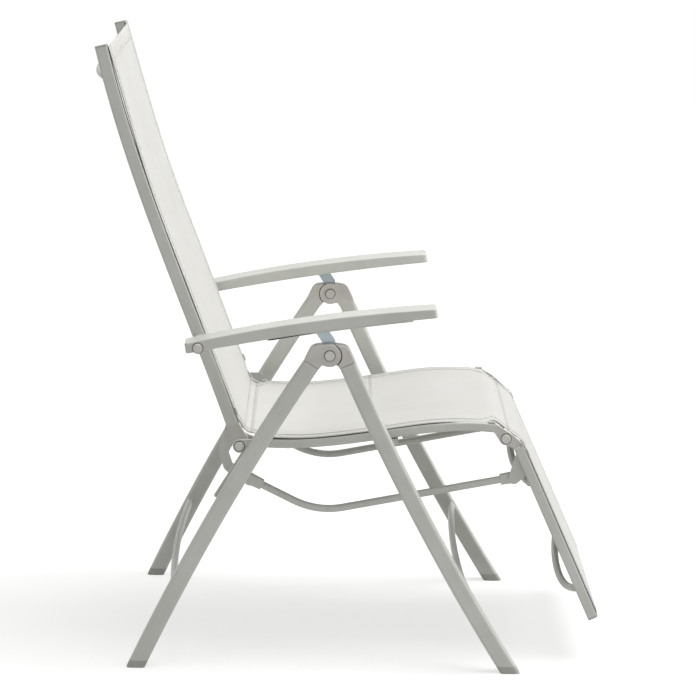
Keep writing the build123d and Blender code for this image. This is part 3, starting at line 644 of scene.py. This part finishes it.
for body, (points, offset) in trim["rails"].items():
    way = smoothed(list(points)) if len(points) > 2 else list(points)
    mesh = bandMesh(body + "GrooveShadeStrip", way, offset - trim["thick"] / 2, offset + trim["thick"] / 2,
                    trim["inner"], trim["outer"])
    # Painted shade: a dark strip where the groove's opening lies in shadow
    shadeStrip = newObject(body + "GrooveShadeStrip", mesh, washerAndGrooveShade)
    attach(shadeStrip, body)


# Under each armrest: a painted lip along the inner edge, and the dark runner that shows below the rear part
runner = {"under": ((-246, 559.5), (-40, 598.3), (184, 629.5)), "from": -105.0, "to": -32.0, "steps": 12, "deep": 2.4,
          "taper": 0.85, "blunt": 0.35, "rise": 8, "over": 0.6, "inner": 308.3, "outer": 308.9}
armLip = {"from": -107, "to": 142, "step": 8, "low": -2.0, "high": 0.4, "inner": 286.9, "outer": 288.9}


# Height of the armrest's underside, on a parabola through three places
def underArm(forward):
    (a, za), (b, zb), (c, zc) = runner["under"]
    return (za * (forward - b) * (forward - c) / ((a - b) * (a - c)) + zb * (forward - a) * (forward - c)
            / ((b - a) * (b - c)) + zc * (forward - a) * (forward - b) / ((c - a) * (c - b)))


for sign, body in ((1, "arm_left"), (-1, "arm_right")):
    edge = [(forward, underArm(forward)) for forward in range(armLip["from"], armLip["to"], armLip["step"])]
    lips = bandMesh(body + "InnerLip", edge, armLip["low"], armLip["high"], armLip["inner"], armLip["outer"], (sign,))
    lip = newObject(body + "InnerLip", lips, powderCoat)
    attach(lip, body)
    vertices, faces = [], []
    for step in range(runner["steps"] + 1):
        share = step / runner["steps"]
        forward = runner["from"] + (runner["to"] - runner["from"]) * share
        deep = runner["deep"] * (1 - runner["taper"] * share) * min(1.0, runner["blunt"] + share * runner["rise"])
        high = underArm(forward)
        vertices += [at(forward, high - deep, sign * across) for across in (runner["inner"], runner["outer"])]
        vertices += [at(forward, high + runner["over"], sign * across)
                     for across in (runner["outer"], runner["inner"])]
    for step in range(runner["steps"]):
        for j in range(4):
            a, b = 4 * step + j, 4 * step + (j + 1) % 4
            faces.append((a, b, b + 4, a + 4) if sign > 0 else (a + 4, b + 4, b, a))
    front = [4 * runner["steps"] + j for j in range(4)]
    faces += [(3, 2, 1, 0), tuple(front)] if sign > 0 else [(0, 1, 2, 3), tuple(front[::-1])]
    strip = newObject(body + "Runner", meshFrom(body + "Runner", vertices, faces, False), blackAcetal)
    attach(strip, body)
print("trim laid")


# Moulded clips that hold the ends of the cloth's edge beads on the rails
clips = {"long": 13.0, "wide": 9.0, "high": 4.5, "round": 1.6, "across": 234.5,
         "spots": {"back": [(-172.0, 441.0, -69.0, 11.0)],
                   "seat": [(-122.0, 391.0, 0.0, 9.0), (284.0, 423.0, 0.0, 9.0)],
                   "legrest": [(338.5, 377.0, -65.4, 10.0)]}}


# Rounded blocks on both sides, each at a place, turned, and lifted off it square to its length
def clipMesh(name, spots):
    shape = bmesh.new()
    for forward, up, turn, lift in spots:
        for sign in (-1, 1):
            made = bmesh.ops.create_cube(shape, size=1.0)
            angle = math.radians(turn)
            place = Matrix.Translation(at(forward - math.sin(angle) * lift, up + math.cos(angle) * lift,
                                          sign * clips["across"]))
            spin = Matrix.Rotation(-angle, 4, "X")
            size = Matrix.Diagonal((clips["wide"] / 1000, clips["long"] / 1000, clips["high"] / 1000, 1.0))
            bmesh.ops.transform(shape, matrix=place @ spin @ size, verts=made["verts"])
    bmesh.ops.bevel(shape, geom=shape.edges[:], offset=clips["round"] / 1000, segments=3, affect="EDGES", profile=0.6)
    mesh = bpy.data.meshes.new(name)
    shape.to_mesh(mesh)
    shape.free()
    return mesh


for body, spots in clips["spots"].items():
    clip = newObject(body + "Clips", clipMesh(body + "Clips", spots), mouldedCap)
    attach(clip, body)
print("clips set")


# Stage: a pale floor and soft studio light at a plain level
studio = {"floor": 50.0, "world": 0.34, "key": 88.0, "keyPlace": (0.0, -0.9, 3.5), "keySize": 3.0,
          "fill": 52.0, "fillPlace": (0.4, -4.2, 1.7), "fillSize": 2.6, "paintedGlowNear": 0.6, "paintedGlowFar": 0.8,
          "paintedGlowFrom": 0.7, "paintedGlowTo": 4.0}


# 1 for the rays that look at a surface, straight, mirrored or through glass, and 0 for those that light it
def lookedAt(tree):
    path = addNode(tree, "ShaderNodeLightPath").outputs
    seen = addNode(tree, "ShaderNodeMath", {0: path["Is Camera Ray"], 1: path["Is Glossy Ray"]}, operation="MAXIMUM")
    seen = addNode(tree, "ShaderNodeMath", {0: seen.outputs[0], 1: path["Is Transmission Ray"]}, operation="MAXIMUM")
    return seen.outputs[0]


def floorMaterial():
    material, tree, shader = startMaterial("seamless paper", 0.9)
    place = addNode(tree, "ShaderNodeTexCoord").outputs["Object"]
    clouds = addNode(tree, "ShaderNodeTexNoise", {"Vector": place, "Scale": 0.8})
    tint = addNode(tree, "ShaderNodeValToRGB", {"Fac": clouds.outputs["Fac"]})
    tint.color_ramp.elements[0].color, tint.color_ramp.elements[1].color = linear("#cfcfce"), linear("#d3d3d2")
    tree.links.new(tint.outputs["Color"], shader.inputs["Base Color"])
    shader.inputs["Specular IOR Level"].default_value = 0.0
    # Painted light: the paper glows for the rays that look at it, more the further it is from the chair
    away = addNode(tree, "ShaderNodeVectorMath", {0: place}, operation="LENGTH")
    level = addNode(tree, "ShaderNodeMapRange", {
        "Value": away.outputs["Value"], "From Min": studio["paintedGlowFrom"], "From Max": studio["paintedGlowTo"],
        "To Min": studio["paintedGlowNear"], "To Max": studio["paintedGlowFar"]}, interpolation_type="SMOOTHSTEP")
    glow = addNode(tree, "ShaderNodeMath", {0: lookedAt(tree), 1: level.outputs["Result"]}, operation="MULTIPLY")
    shader.inputs["Emission Color"].default_value = (1.0, 1.0, 1.0, 1.0)
    tree.links.new(glow.outputs[0], shader.inputs["Emission Strength"])
    return material


reach = studio["floor"]
corners = [(-reach, -reach, 0), (reach, -reach, 0), (reach, reach, 0), (-reach, reach, 0)]
floor = newObject("floor", meshFrom("floor", corners, [(0, 1, 2, 3)]), floorMaterial())
floor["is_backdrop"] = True


def softLight(name, power, place, size, target=(0, 0, 0.5)):
    lamp = bpy.data.lights.new(name, "AREA")
    lamp.energy, lamp.size = power, size
    item = bpy.data.objects.new(name, lamp)
    bpy.context.scene.collection.objects.link(item)
    item.location = place
    item.rotation_euler = (Vector(target) - Vector(place)).to_track_quat("-Z", "Y").to_euler()
    return item


softLight("key", studio["key"], studio["keyPlace"], studio["keySize"])
softLight("fill", studio["fill"], studio["fillPlace"], studio["fillSize"])

world = bpy.data.worlds.new("studio")
bpy.context.scene.world = world
world.use_nodes = True
sky = world.node_tree
sky.nodes.clear()
level = addNode(sky, "ShaderNodeMapRange", {"Value": lookedAt(sky), "To Min": studio["world"], "To Max": 1.0})
light = addNode(sky, "ShaderNodeBackground", {"Color": (1.0, 1.0, 1.0, 1.0), "Strength": level.outputs["Result"]})
addNode(sky, "ShaderNodeOutputWorld", {"Surface": light.outputs[0]})
print("stage and light set")

low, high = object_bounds()
